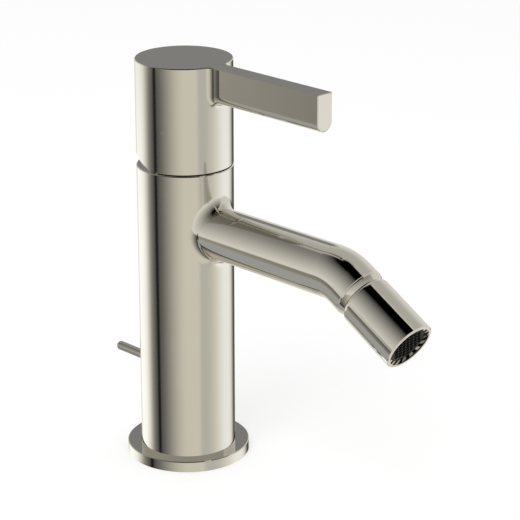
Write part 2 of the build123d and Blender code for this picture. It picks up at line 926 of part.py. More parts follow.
with BuildPart() as handle_adapter:
    extrude(disc(level(adapter_low), handle_cavity_radius - slip_fit), amount=adapter_height)
    extrude(
        block_face(level(adapter_low), stem_width + 2 * slip_fit, stem_width + 2 * slip_fit),
        amount=adapter_height,
        mode=Mode.SUBTRACT,
    )
    with BuildSketch(level(adapter_low)):
        with PolarLocations(
            handle_cavity_radius, adapter_flute_count, start_angle=180 / adapter_flute_count
        ):
            Circle(adapter_flute_radius)
    extrude(amount=adapter_height, mode=Mode.SUBTRACT)
    extrude(disc(grub_plane, grub_radius), amount=handle_cavity_radius, mode=Mode.SUBTRACT)


def key_face(plane, width):
    """Return the hexagon of a key socket by its width across flats."""
    with BuildSketch(plane) as hexagon:
        RegularPolygon(width / 2, side_count=6, major_radius=False)
    return hexagon.sketch


with BuildPart() as grub_screw:
    extrude(disc(grub_plane, grub_radius), amount=grub_length)
    extrude(
        key_face(grub_plane.offset(grub_length), grub_key_width),
        amount=-grub_key_depth,
        mode=Mode.SUBTRACT,
    )

with BuildPart() as screw_plug:
    extrude(disc(grub_plane, plug_radius), amount=column_radius)
    extrude(
        disc(level(handle_low), column_radius - plug_recess, handle_cavity_radius),
        amount=handle_height,
        mode=Mode.INTERSECT,
    )

# Joint cap: a threaded collar whose lip holds the ball and leaves its neck free.
swing = math.radians(nozzle_swing_degrees)
lip_inner_angle = math.asin((neck_radius + neck_gap) / ball_socket_radius) + swing
lip_outer_angle = math.asin((neck_radius + neck_gap) / cap_face_radius) + swing
cap_rim_angle = math.asin(cap_flange_radius / cap_face_radius)

with BuildPart() as joint_cap:
    with BuildSketch(outlet_section):
        with BuildLine():
            face_arc = joint_arc(cap_face_radius, lip_outer_angle, cap_rim_angle)
            socket_arc = joint_arc(ball_socket_radius, lip_inner_angle, math.pi / 2)
            Line(socket_arc @ 0, face_arc @ 0)
            Polyline(
                face_arc @ 1,
                (cap_flange_radius, tail_end),
                (cap_thread_radius, tail_end),
                (cap_thread_radius, cap_thread_end),
                (ball_socket_radius, cap_thread_end),
                socket_arc @ 1,
            )
        make_face()
    revolve(axis=outlet_axis)

with BuildPart() as ball_seal:
    with Locations(across_outlet(ball_chamber_end + ball_seal_radius)):
        Torus(ball_chamber_radius - ball_seal_radius - seal_ease, ball_seal_radius - seal_ease)

with BuildPart() as ball_seat:
    extrude(
        disc(across_outlet(ball_seat_back), ball_seat_radius, ball_seat_bore_radius),
        amount=ball_seat_height,
    )
    with Locations(joint_plane):
        Sphere(ball_socket_radius, mode=Mode.SUBTRACT)

# Ball nipple: the hollow ball and neck that carry the nozzle.
with BuildPart() as ball_nipple:
    with Locations(joint_plane):
        Sphere(ball_radius)
    extrude(disc(joint_plane, neck_radius), amount=nipple_shoulder)
    extrude(
        disc(across_outlet(nipple_shoulder), nipple_thread_radius),
        amount=nozzle_web_end - nipple_shoulder,
    )
    extrude(
        disc(across_outlet(-ball_radius), ball_bore_radius),
        amount=ball_radius + nozzle_web_end,
        mode=Mode.SUBTRACT,
    )
    extrude(
        disc(across_outlet(-ball_radius), ball_mouth_radius),
        amount=ball_mouth_depth,
        mode=Mode.SUBTRACT,
    )

# Nozzle shell, hollowed above to swing round the joint and below for the aerator.
nozzle_hollow_radius = cap_face_radius + nozzle_gap

with BuildPart() as nozzle_shell:
    extrude(disc(across_outlet(nozzle_crown), nozzle_radius), amount=nozzle_end - nozzle_crown)
    nozzle_ends = nozzle_shell.faces().filter_by(GeomType.PLANE).sort_by(outlet_axis)
    chamfer(nozzle_ends[-1].edges(), length=nozzle_edge)
    fillet(nozzle_ends[0].edges(), radius=nozzle_round)
    with Locations(joint_plane):
        Sphere(nozzle_hollow_radius, mode=Mode.SUBTRACT)
    extrude(
        disc(across_outlet(nozzle_crown), neck_radius),
        amount=nipple_shoulder - nozzle_crown,
        mode=Mode.SUBTRACT,
    )
    extrude(
        disc(across_outlet(nipple_shoulder), nipple_thread_radius),
        amount=nozzle_web_end - nipple_shoulder,
        mode=Mode.SUBTRACT,
    )
    extrude(
        disc(across_outlet(nozzle_web_end), nozzle_bore_radius),
        amount=nozzle_end - nozzle_web_end,
        mode=Mode.SUBTRACT,
    )

# Aerator: seal, housing with a key rim, diffuser, mesh and honeycomb.
with BuildPart() as aerator_seal:
    extrude(
        disc(across_outlet(nozzle_web_end), aerator_radius, aerator_seal_inner_radius),
        amount=aerator_seal_height,
    )

with BuildPart() as aerator_housing:
    extrude(
        disc(across_outlet(aerator_seal_end), aerator_radius, aerator_bore_radius),
        amount=aerator_face - aerator_seal_end,
    )
    extrude(
        disc(across_outlet(ledge_start), aerator_bore_radius + slip_fit, aerator_ledge_radius),
        amount=aerator_ledge_height,
    )
    with BuildSketch(across_outlet(aerator_face)):
        with PolarLocations(aerator_bore_radius + aerator_wall / 2, aerator_key_count):
            Rectangle(aerator_wall + 2 * overrun, aerator_key_width)
    extrude(amount=-aerator_key_depth, mode=Mode.SUBTRACT)

with BuildPart() as diffuser:
    extrude(disc(across_outlet(aerator_seal_end), insert_radius), amount=diffuser_height)
    extrude(
        disc(across_outlet(aerator_seal_end + diffuser_face), aerator_ledge_radius),
        amount=diffuser_height - diffuser_face,
        mode=Mode.SUBTRACT,
    )
    with BuildSketch(across_outlet(aerator_seal_end)):
        for circle_share, hole_count in zip(diffuser_circle_shares, diffuser_hole_counts):
            with PolarLocations(circle_share * insert_radius, hole_count):
                Circle(diffuser_hole_radius)
    extrude(amount=diffuser_face, mode=Mode.SUBTRACT)

mesh_reach = int(insert_radius / mesh_pitch)
mesh_places = [
    (column * mesh_pitch, row * mesh_pitch)
    for column in range(-mesh_reach, mesh_reach + 1)
    for row in range(-mesh_reach, mesh_reach + 1)
    if math.hypot(abs(column) * mesh_pitch + mesh_pitch / 2, abs(row) * mesh_pitch + mesh_pitch / 2)
    < insert_radius - mesh_bar
]

with BuildPart() as mesh_screen:
    extrude(disc(across_outlet(ledge_end), insert_radius), amount=mesh_thickness)
    with BuildSketch(across_outlet(ledge_end)):
        with Locations(*mesh_places):
            Rectangle(mesh_pitch - mesh_bar, mesh_pitch - mesh_bar)
    extrude(amount=mesh_thickness, mode=Mode.SUBTRACT)

cell_pitch = honeycomb_cell_width + honeycomb_wall
cell_row = cell_pitch * math.sqrt(3) / 2
cell_reach = insert_radius - honeycomb_skirt
cell_count = int(cell_reach / cell_row) + 1
cell_places = [
    (column * cell_pitch + row % 2 * cell_pitch / 2, row * cell_row)
    for row in range(-cell_count, cell_count + 1)
    for column in range(-cell_count, cell_count + 1)
    if math.hypot(column * cell_pitch + row % 2 * cell_pitch / 2, row * cell_row)
    < cell_reach - cell_pitch / 2
]

with BuildPart() as honeycomb_grille:
    extrude(disc(across_outlet(mesh_end), insert_radius), amount=aerator_face - mesh_end)
    extrude(
        disc(across_outlet(mesh_end), cell_reach),
        amount=honeycomb_start - mesh_end,
        mode=Mode.SUBTRACT,
    )
    with BuildSketch(across_outlet(honeycomb_start)):
        with Locations(*cell_places):
            RegularPolygon(honeycomb_cell_width / 2, side_count=6, major_radius=False, rotation=30)
    extrude(amount=honeycomb_depth, mode=Mode.SUBTRACT)

# Waste rod: the lifting rod with its square head and the finger rod screwed into it.
head_low = rod_axis_height - head_height / 2
head_top = rod_axis_height + head_height / 2
rod_inner_y = rod_axis_y - head_width / 2 + rod_end_cover
rod_plane = Plane((0, rod_inner_y, rod_axis_height), x_dir=(1, 0, 0), z_dir=(0, 1, 0))
rod_screw_top = head_top - rod_screw_recess
rod_screw_low = rod_axis_height + rod_radius

with BuildPart() as lift_rod:
    extrude(block_face(level(head_low), head_width, head_width, (0, rod_axis_y)), amount=head_height)
    chamfer(lift_rod.edges(), length=head_edge)
    extrude(
        discs(level(lift_rod_foot), lift_rod_radius, [(0, rod_axis_y)]),
        amount=head_low - lift_rod_foot,
    )
    extrude(
        discs(level(lift_rod_foot), link_hole_radius, [(0, rod_axis_y)]),
        amount=link_hole_depth,
        mode=Mode.SUBTRACT,
    )
    extrude(disc(rod_plane, rod_radius), amount=head_width, mode=Mode.SUBTRACT)
    extrude(
        discs(level(rod_axis_height), rod_screw_radius, [(0, rod_axis_y)]),
        amount=head_height / 2,
        mode=Mode.SUBTRACT,
    )

with BuildPart() as finger_rod:
    extrude(disc(rod_plane, rod_radius), amount=rod_tip_y - rod_inner_y)
    fillet(finger_rod.faces().sort_by(Axis.Y)[-1].edges(), radius=rod_tip_round)

with BuildPart() as rod_screw:
    extrude(
        discs(level(rod_screw_low), rod_screw_radius, [(0, rod_axis_y)]),
        amount=rod_screw_top - rod_screw_low,
    )
    rod_key_plane = Plane((0, rod_axis_y, rod_screw_top))
    extrude(
        key_face(rod_key_plane, rod_screw_key_width),
        amount=-rod_screw_key_depth,
        mode=Mode.SUBTRACT,
    )

with BuildPart() as rod_bush:
    extrude(
        discs(level(lift_rod_foot), bush_radius, [(0, rod_axis_y)]),
        amount=block_height - lift_rod_foot,
    )
    extrude(
        discs(level(block_height), bush_flange_radius, [(0, rod_axis_y)]),
        amount=bush_flange_height,
    )
    extrude(
        discs(level(lift_rod_foot), lift_rod_radius + slip_fit, [(0, rod_axis_y)]),
        amount=block_height + bush_flange_height,
        mode=Mode.SUBTRACT,
    )

with BuildPart() as slot_liner:
    extrude(rod_slot(liner_radius), amount=column_radius)
    extrude(
        disc(level(web_low), column_radius - liner_inset, dry_bore_radius),
        amount=-web_low,
        mode=Mode.INTERSECT,
    )
    extrude(rod_slot(rod_slot_radius), amount=column_radius, mode=Mode.SUBTRACT)

pieces = {
    "base_ring": base_ring,
    "base_gasket": base_gasket,
    "ring_seal": ring_seal,
    "base_block": base_block,
    "block_seal": block_seal,
    **feed_tubes,
    "tube_seals": tube_seals,
    "body": body,
    "cartridge_base": cartridge_base,
    "inlet_seals": inlet_seals,
    "disc_seals": disc_seals,
    "fixed_disc": fixed_disc,
    "moving_disc": moving_disc,
    "disc_carrier": disc_carrier,
    "cartridge_housing": cartridge_housing,
    "housing_seal": housing_seal,
    "rotor": rotor,
    "rotor_seal": rotor_seal,
    "pivot_pin": pivot_pin,
    "stem": stem,
    "cartridge_nut": cartridge_nut,
    "trim_dome": trim_dome,
    "handle": handle,
    "handle_adapter": handle_adapter,
    "grub_screw": grub_screw,
    "screw_plug": screw_plug,
    "joint_cap": joint_cap,
    "ball_seal": ball_seal,
    "ball_seat": ball_seat,
    "ball_nipple": ball_nipple,
    "nozzle_shell": nozzle_shell,
    "aerator_seal": aerator_seal,
    "aerator_housing": aerator_housing,
    "diffuser_plate": diffuser,
    "mesh_screen": mesh_screen,
    "honeycomb_grille": honeycomb_grille,
    "lift_rod": lift_rod,
    "finger_rod": finger_rod,
    "rod_screw": rod_screw,
    "rod_bush": rod_bush,
    "slot_liner": slot_liner,
}

for name, piece in pieces.items():
    piece.part.label = name
    export_step(piece.part, f"parts/{name}.step")
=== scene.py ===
"""Bidet mixer: the studio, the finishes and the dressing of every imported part."""

import logging
import math
from dataclasses import dataclass, field
from enum import Enum

import bpy
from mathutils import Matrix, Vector

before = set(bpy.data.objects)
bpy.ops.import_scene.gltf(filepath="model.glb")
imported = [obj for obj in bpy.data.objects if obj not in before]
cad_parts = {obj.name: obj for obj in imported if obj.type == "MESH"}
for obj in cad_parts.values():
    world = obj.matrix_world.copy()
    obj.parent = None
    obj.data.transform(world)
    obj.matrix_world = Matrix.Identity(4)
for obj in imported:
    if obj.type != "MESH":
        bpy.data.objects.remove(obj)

log = logging.getLogger("bidet_mixer")

Colour = tuple[float, float, float]
Point = tuple[float, float, float]

CAMERA_AZIMUTH = -134.3
HALF_TURN = 180.0
WHITE = (1.0, 1.0, 1.0, 1.0)
BLACK = (0.0, 0.0, 0.0)


# Helpers for shader trees


class Tree:
    """A node tree that is filled from left to right."""

    column_width = 180.0
    row_drop = 40.0
    rows = 5

    def __init__(self, nodes_of: bpy.types.NodeTree) -> None:
        """Empty a node tree and keep it.

        Args:
            nodes_of: The tree of a material, a world or a group.
        """
        self.tree = nodes_of
        self.tree.nodes.clear()
        self.placed = 0

    def add(self, kind: str, **settings: object) -> bpy.types.Node:
        """Add a node and set its plain properties.

        Args:
            kind: Blender's own name of the node type.
            settings: Properties of the node, by name.

        Returns:
            The new node.
        """
        node = self.tree.nodes.new(kind)
        row = self.placed % self.rows
        node.location = (self.column_width * self.placed, -self.row_drop * row)
        self.placed += 1
        for name, value in settings.items():
            setattr(node, name, value)
        return node

    def feed(self, socket: bpy.types.NodeSocket, value: object) -> None:
        """Link a socket to an output, or set its number.

        Args:
            socket: The input that is fed.
            value: Another socket, or a number, a vector or a colour.
        """
        if isinstance(value, bpy.types.NodeSocket):
            self.tree.links.new(value, socket)
        else:
            socket.default_value = value

    def maths(self, operation: str, *values: object) -> bpy.types.NodeSocket:
        """Add a Math node.

        Args:
            operation: Blender's name of the operation.
            values: The inputs, in order.

        Returns:
            The node's output.
        """
        node = self.add("ShaderNodeMath", operation=operation)
        for socket, value in zip(node.inputs, values):
            self.feed(socket, value)
        return node.outputs[0]

    def ramp(self, value: object, low: object, high: object,
             start: float = 0.0, end: float = 1.0, soft: bool = True) -> bpy.types.NodeSocket:
        """Map a range of a value to another range.

        Args:
            value: What is mapped.
            low: The value that gives start.
            high: The value that gives end.
            start: The result at low and below.
            end: The result at high and above.
            soft: Whether the change eases in and out.

        Returns:
            The mapped value.
        """
        node = self.add("ShaderNodeMapRange")
        node.interpolation_type = "SMOOTHSTEP" if soft else "LINEAR"
        self.feed(node.inputs["Value"], value)
        self.feed(node.inputs["From Min"], low)
        self.feed(node.inputs["From Max"], high)
        self.feed(node.inputs["To Min"], start)
        self.feed(node.inputs["To Max"], end)
        return node.outputs["Result"]

    def blend(self, share: object, first: object, second: object) -> bpy.types.NodeSocket:
        """Mix two colours, whose sockets on the node are 6 and 7 and the output 2.

        Args:
            share: How much of the second colour is taken.
            first: A colour or a socket.
            second: A colour or a socket.

        Returns:
            The mixed colour.
        """
        node = self.add("ShaderNodeMix", data_type="RGBA")
        self.feed(node.inputs[0], share)
        for socket, value in ((node.inputs[6], first), (node.inputs[7], second)):
            colour = (*value, 1.0) if isinstance(value, tuple) else value
            self.feed(socket, colour)
        return node.outputs[2]

    def scaled(self, vector: object, factors: Point) -> bpy.types.NodeSocket:
        """Scale a coordinate along each axis.

        Args:
            vector: The coordinate.
            factors: One factor for each axis.

        Returns:
            The scaled coordinate.
        """
        node = self.add("ShaderNodeVectorMath", operation="MULTIPLY")
        self.feed(node.inputs[0], vector)
        node.inputs[1].default_value = factors
        return node.outputs[0]

    def noise(self, vector: object, scale: object, detail: float = 2.0) -> bpy.types.NodeSocket:
        """Add a Noise texture.

        Args:
            vector: The coordinate it reads.
            scale: Cells for each metre.
            detail: How many finer layers it has.

        Returns:
            The noise, from 0 to 1.
        """
        node = self.add("ShaderNodeTexNoise")
        self.feed(node.inputs["Vector"], vector)
        self.feed(node.inputs["Scale"], scale)
        node.inputs["Detail"].default_value = detail
        return node.outputs[0]


# Effects that several finishes share


class Effect:
    """A shader group with named inputs and one output, built once."""

    title = "effect"
    numbers: dict[str, float] = {}
    result = "Mask"

    def __init__(self) -> None:
        """Build the group's sockets and its inside."""
        self.group = bpy.data.node_groups.new(self.title, "ShaderNodeTree")
        face = self.group.interface
        face.new_socket(name="Vector", in_out="INPUT", socket_type="NodeSocketVector")
        for name, value in self.numbers.items():
            socket = face.new_socket(name=name, in_out="INPUT", socket_type="NodeSocketFloat")
            socket.default_value = value
        face.new_socket(name=self.result, in_out="OUTPUT", socket_type="NodeSocketFloat")
        tree = Tree(self.group)
        entry = tree.add("NodeGroupInput")
        leave = tree.add("NodeGroupOutput")
        tree.feed(leave.inputs[self.result], self.inside(tree, entry))

    def inside(self, tree: Tree, entry: bpy.types.Node) -> bpy.types.NodeSocket:
        """Build what the group does; each effect has its own.

        Args:
            tree: The group's tree.
            entry: The group's input node.

        Returns:
            The socket that the group puts out.
        """
        raise NotImplementedError(self.title)

    def place(self, tree: Tree, vector: object, **values: float) -> bpy.types.NodeSocket:
        """Put the group into a material.

        Args:
            tree: The material's tree.
            vector: The coordinate the group reads.
            values: The group's inputs, with _ in place of a space.

        Returns:
            The group's output.
        """
        node = tree.add("ShaderNodeGroup", node_tree=self.group)
        tree.feed(node.inputs["Vector"], vector)
        for name, value in values.items():
            tree.feed(node.inputs[name.replace("_", " ")], value)
        return node.outputs[self.result]


class WipeMarks(Effect):
    """Broad, faint smears that a cloth and hands leave."""

    title = "wipe_marks"
    numbers = {"Scale": 30.0, "Cover": 0.5}
    stretch: Point = (1.0, 1.6, 0.55)
    layers = 3.0
    bare_edge = 0.85
    cover_pull = 0.6
    softness = 0.25

    def inside(self, tree: Tree, entry: bpy.types.Node) -> bpy.types.NodeSocket:
        """Turn stretched noise into soft patches.

        Args:
            tree: The group's tree.
            entry: The group's input node.

        Returns:
            The mask of the smears.
        """
        stretched = tree.scaled(entry.outputs["Vector"], self.stretch)
        broad = tree.noise(stretched, entry.outputs["Scale"], self.layers)
        pull = tree.maths("MULTIPLY", entry.outputs["Cover"], self.cover_pull)
        edge = tree.maths("SUBTRACT", self.bare_edge, pull)
        return tree.ramp(broad, tree.maths("SUBTRACT", edge, self.softness), edge)


class WaterSpots(Effect):
    """Round dried drops with a paler rim."""

    title = "water_spots"
    numbers = {"Scale": 160.0, "Cover": 0.25}
    smallest = 0.12
    largest = 0.34
    rim_width = 0.06

    def inside(self, tree: Tree, entry: bpy.types.Node) -> bpy.types.NodeSocket:
        """Keep a thin ring of some of the cells.

        Args:
            tree: The group's tree.
            entry: The group's input node.

        Returns:
            The mask of the rings.
        """
        cells = tree.add("ShaderNodeTexVoronoi")
        tree.feed(cells.inputs["Vector"], entry.outputs["Vector"])
        tree.feed(cells.inputs["Scale"], entry.outputs["Scale"])
        split = tree.add("ShaderNodeSeparateColor")
        tree.feed(split.inputs[0], cells.outputs["Color"])
        chosen = tree.maths("LESS_THAN", split.outputs[0], entry.outputs["Cover"])
        radius = tree.ramp(
            split.outputs[1], 0.0, 1.0, self.smallest, self.largest, soft=False)
        away = tree.maths("ABSOLUTE", tree.maths("SUBTRACT", cells.outputs["Distance"], radius))
        rim = tree.ramp(away, 0.0, self.rim_width, 1.0, 0.0)
        return tree.maths("MULTIPLY", chosen, rim)


class FineGrain(Effect):
    """The very fine unevenness of a polished or moulded skin."""

    title = "fine_grain"
    numbers = {"Scale": 2500.0, "Ripple": 0.3}
    result = "Height"
    fine_layers = 2.0
    slow_layers = 1.0
    slow_share = 0.05

    def inside(self, tree: Tree, entry: bpy.types.Node) -> bpy.types.NodeSocket:
        """Add a slow ripple to a fine grain.

        Args:
            tree: The group's tree.
            entry: The group's input node.

        Returns:
            The height, from 0 to 1 plus the ripple.
        """
        fine = tree.noise(entry.outputs["Vector"], entry.outputs["Scale"], self.fine_layers)
        slow_scale = tree.maths("MULTIPLY", entry.outputs["Scale"], self.slow_share)
        slow = tree.noise(entry.outputs["Vector"], slow_scale, self.slow_layers)
        waves = tree.maths("MULTIPLY", slow, entry.outputs["Ripple"])
        return tree.maths("ADD", fine, waves)


class ToolLines(Effect):
    """Fine lines round the upright axis, as a lathe leaves them."""

    title = "tool_lines"
    numbers = {"Scale": 5000.0}
    result = "Height"
    squeeze: Point = (0.03, 0.03, 1.0)
    layers = 3.0

    def inside(self, tree: Tree, entry: bpy.types.Node) -> bpy.types.NodeSocket:
        """Read noise that changes with height and hardly round the axis.

        Args:
            tree: The group's tree.
            entry: The group's input node.

        Returns:
            The height, from 0 to 1.
        """
        rings = tree.scaled(entry.outputs["Vector"], self.squeeze)
        return tree.noise(rings, entry.outputs["Scale"], self.layers)


class Dust(Effect):
    """Small pale specks that settle on dark parts."""

    title = "dust"
    numbers = {"Scale": 1800.0, "Cover": 0.2}
    layers = 1.0
    bare_edge = 0.85
    cover_pull = 0.3
    softness = 0.08

    def inside(self, tree: Tree, entry: bpy.types.Node) -> bpy.types.NodeSocket:
        """Keep the peaks of a fine noise.

        Args:
            tree: The group's tree.
            entry: The group's input node.

        Returns:
            The mask of the specks.
        """
        fine = tree.noise(entry.outputs["Vector"], entry.outputs["Scale"], self.layers)
        pull = tree.maths("MULTIPLY", entry.outputs["Cover"], self.cover_pull)
        edge = tree.maths("SUBTRACT", self.bare_edge, pull)
        return tree.ramp(fine, tree.maths("SUBTRACT", edge, self.softness), edge)


class Weave(Effect):
    """Crossing wires of a strainer cloth."""

    title = "weave"
    numbers = {"Scale": 2400.0}
    result = "Height"

    def inside(self, tree: Tree, entry: bpy.types.Node) -> bpy.types.NodeSocket:
        """Multiply two runs of wires that cross at right angles.

        Args:
            tree: The group's tree.
            entry: The group's input node.

        Returns:
            The height, from 0 to 1.
        """
        split = tree.add("ShaderNodeSeparateXYZ")
        tree.feed(split.inputs[0], entry.outputs["Vector"])
        runs = []
        for axis in (0, 1):
            turns = tree.maths("MULTIPLY", split.outputs[axis], entry.outputs["Scale"])
            runs.append(tree.maths("ABSOLUTE", tree.maths("SINE", turns)))
        return tree.maths("MAXIMUM", runs[0], runs[1])


class Effects:
    """Every shared effect, built once."""

    def __init__(self) -> None:
        """Build the groups."""
        self.wipes = WipeMarks()
        self.spots = WaterSpots()
        self.grain = FineGrain()
        self.lines = ToolLines()
        self.dust = Dust()
        self.weave = Weave()


# Finishes

WIPE_COVER = 0.5
SPOT_SCALE = 170.0
SPOT_ROUGHNESS = 0.06
DUST_SCALE = 1800.0
DUST_STRENGTH = 0.35
DUST_COLOUR = (0.5, 0.48, 0.45)
POLISH_RIPPLE = 6.0
PLAIN_RIPPLE = 1.0


class Texture(Enum):
    """What the surface of a finish is covered with."""

    POLISHED = "polished"
    TURNED = "turned"
    MOULDED = "moulded"
    WOVEN = "woven"


@dataclass(frozen=True)
class Finish:
    """One surface finish and how strongly each effect shows on it."""

    name: str
    colour: Colour
    second_colour: Colour
    metallic: float
    roughness: float
    roughness_spread: float
    texture: Texture
    grain_scale: float = 2500.0
    bump_distance: float = 0.000004
    wipe_scale: float = 30.0
    spot_cover: float = 0.0
    dust_cover: float = 0.0
    specular: float = 0.5

    def material(self, effects: Effects) -> bpy.types.Material:
        """Build the finish's material.

        Args:
            effects: The shared effects.

        Returns:
            The finished material.
        """
        made = bpy.data.materials.new(self.name)
        made.use_nodes = True
        tree = Tree(made.node_tree)
        place = tree.add("ShaderNodeTexCoord").outputs["Object"]
        wipes = effects.wipes.place(tree, place, Scale=self.wipe_scale, Cover=WIPE_COVER)
        skin = tree.add("ShaderNodeBsdfPrincipled")
        colour = tree.blend(wipes, self.colour, self.second_colour)
        roughest = self.roughness + self.roughness_spread
        rough = tree.ramp(wipes, 0.0, 1.0, self.roughness, roughest)
        if self.spot_cover > 0.0:
            spots = effects.spots.place(
                tree, place, Scale=SPOT_SCALE, Cover=self.spot_cover)
            rough = tree.maths("ADD", rough, tree.maths("MULTIPLY", spots, SPOT_ROUGHNESS))
        if self.dust_cover > 0.0:
            specks = effects.dust.place(
                tree, place, Scale=DUST_SCALE, Cover=self.dust_cover)
            faint = tree.maths("MULTIPLY", specks, DUST_STRENGTH)
            colour = tree.blend(faint, colour, DUST_COLOUR)
        tree.feed(skin.inputs["Base Color"], colour)
        tree.feed(skin.inputs["Roughness"], rough)
        skin.inputs["Metallic"].default_value = self.metallic
        skin.inputs["Specular IOR Level"].default_value = self.specular
        bump = tree.add("ShaderNodeBump")
        bump.inputs["Strength"].default_value = 1.0
        bump.inputs["Distance"].default_value = self.bump_distance
        tree.feed(bump.inputs["Height"], self.height(tree, place, effects))
        tree.feed(skin.inputs["Normal"], bump.outputs["Normal"])
        leave = tree.add("ShaderNodeOutputMaterial")
        tree.feed(leave.inputs["Surface"], skin.outputs["BSDF"])
        return made

    def height(self, tree: Tree, place: bpy.types.NodeSocket,
               effects: Effects) -> bpy.types.NodeSocket:
        """Choose the relief of the surface.

        Args:
            tree: The material's tree.
            place: The object coordinate.
            effects: The shared effects.

        Returns:
            The height that the bump reads.
        """
        if self.texture is Texture.TURNED:
            return effects.lines.place(tree, place, Scale=self.grain_scale)
        if self.texture is Texture.WOVEN:
            return effects.weave.place(tree, place, Scale=self.grain_scale)
        ripple = POLISH_RIPPLE if self.texture is Texture.POLISHED else PLAIN_RIPPLE
        return effects.grain.place(tree, place, Scale=self.grain_scale, Ripple=ripple)


POLISHED_NICKEL = Finish(
    "polished_nickel", (0.680, 0.664, 0.612), (0.666, 0.648, 0.594), 1.0, 0.045, 0.025,
    Texture.POLISHED, grain_scale=1600.0, bump_distance=0.0000012, wipe_scale=26.0,
    spot_cover=0.12)
ROD_NICKEL = Finish(
    "rod_nickel", (0.46, 0.45, 0.43), (0.42, 0.41, 0.39), 1.0, 0.14, 0.06,
    Texture.POLISHED, grain_scale=2600.0, bump_distance=0.000002, wipe_scale=60.0)
NICKEL_PLASTIC = Finish(
    "nickel_plastic", (0.66, 0.645, 0.595), (0.64, 0.625, 0.575), 1.0, 0.12, 0.05,
    Texture.MOULDED, grain_scale=2200.0, bump_distance=0.000003)
TURNED_BRASS = Finish(
    "turned_brass", (0.74, 0.56, 0.30), (0.66, 0.47, 0.24), 1.0, 0.24, 0.12,
    Texture.TURNED, grain_scale=4200.0, bump_distance=0.00001)
STEEL = Finish(
    "steel", (0.58, 0.57, 0.55), (0.52, 0.51, 0.49), 1.0, 0.22, 0.1,
    Texture.TURNED, grain_scale=6000.0, bump_distance=0.000006)
STRAINER_STEEL = Finish(
    "strainer_steel", (0.55, 0.54, 0.52), (0.45, 0.44, 0.42), 1.0, 0.3, 0.1,
    Texture.WOVEN, grain_scale=7800.0, bump_distance=0.0001)
RUBBER = Finish(
    "rubber", (0.022, 0.022, 0.024), (0.035, 0.034, 0.034), 0.0, 0.62, 0.14,
    Texture.MOULDED, grain_scale=1500.0, bump_distance=0.00002, dust_cover=0.25)
WHITE_PLASTIC = Finish(
    "white_plastic", (0.74, 0.735, 0.71), (0.70, 0.69, 0.66), 0.0, 0.36, 0.12,
    Texture.MOULDED, grain_scale=1800.0, bump_distance=0.000012)
BLACK_PLASTIC = Finish(
    "black_plastic", (0.012, 0.012, 0.013), (0.020, 0.020, 0.021), 0.0, 0.28, 0.12,
    Texture.MOULDED, grain_scale=1600.0, bump_distance=0.00001, dust_cover=0.08)
GRILLE_PLASTIC = Finish(
    "grille_plastic", (0.005, 0.005, 0.006), (0.010, 0.010, 0.010), 0.0, 0.2, 0.1,
    Texture.MOULDED, grain_scale=2400.0, bump_distance=0.000006, specular=0.06)
WHITE_CERAMIC = Finish(
    "white_ceramic", (0.80, 0.78, 0.73), (0.77, 0.75, 0.70), 0.0, 0.14, 0.08,
    Texture.MOULDED, grain_scale=5000.0, bump_distance=0.000003)
GREY_CERAMIC = Finish(
    "grey_ceramic", (0.30, 0.30, 0.31), (0.26, 0.26, 0.27), 0.0, 0.16, 0.08,
    Texture.MOULDED, grain_scale=5000.0, bump_distance=0.000003)


class Paintbox:
    """Materials by finish, each built once."""

    def __init__(self) -> None:
        """Build the shared effects."""
        self.effects = Effects()
        self.made: dict[str, bpy.types.Material] = {}

    def dress(self, node: str, finish: Finish) -> None:
        """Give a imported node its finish.

        Args:
            node: The node's name.
            finish: The finish that it gets.
        """
        if finish.name not in self.made:
            self.made[finish.name] = finish.material(self.effects)
        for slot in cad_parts[node].material_slots:
            slot.material = self.made[finish.name]
        log.info("%s: %s", node, finish.name)


# Sub-assemblies


@dataclass
class SubAssembly:
    """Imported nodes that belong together, with the finish of each."""

    paints: Paintbox
    finishes: dict[str, Finish] = field(default_factory=dict)

    def dress(self) -> None:
        """Give every node of the sub-assembly its finish."""
        for node, finish in self.finishes.items():
            self.paints.dress(node, finish)


@dataclass
class Foot(SubAssembly):
    """The round base, its seals and the block with the inlets."""

    finishes: dict[str, Finish] = field(default_factory=lambda: {
        "base_ring": POLISHED_NICKEL,
        "base_block": TURNED_BRASS,
        "base_gasket": RUBBER,
        "ring_seal": RUBBER,
        "block_seal": RUBBER,
    })

    def dress(self) -> None:
        """Finish the foot and keep the ring out of what other parts reflect."""
        super().dress()
        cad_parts["base_ring"].visible_glossy = False


@dataclass
class Column(SubAssembly):
    """The body with its spout, the feed tubes and the trim under the handle."""

    finishes: dict[str, Finish] = field(default_factory=lambda: {
        "body": POLISHED_NICKEL,
        "trim_dome": POLISHED_NICKEL,
        "cartridge_nut": TURNED_BRASS,
        "hot_tube": TURNED_BRASS,
        "cold_tube": TURNED_BRASS,
        "tube_seals": RUBBER,
    })


@dataclass
class Cartridge(SubAssembly):
    """The ceramic disc cartridge inside the column."""

    finishes: dict[str, Finish] = field(default_factory=lambda: {
        "cartridge_base": WHITE_PLASTIC,
        "cartridge_housing": WHITE_PLASTIC,
        "rotor": WHITE_PLASTIC,
        "disc_carrier": WHITE_PLASTIC,
        "fixed_disc": WHITE_CERAMIC,
        "moving_disc": GREY_CERAMIC,
        "inlet_seals": RUBBER,
        "disc_seals": RUBBER,
        "housing_seal": RUBBER,
        "rotor_seal": RUBBER,
        "pivot_pin": STEEL,
    })


@dataclass
class Handle(SubAssembly):
    """The cap with its lever and what holds it on the stem."""

    finishes: dict[str, Finish] = field(default_factory=lambda: {
        "handle": POLISHED_NICKEL,
        "stem": STEEL,
        "handle_adapter": WHITE_PLASTIC,
        "grub_screw": STEEL,
        "screw_plug": NICKEL_PLASTIC,
    })


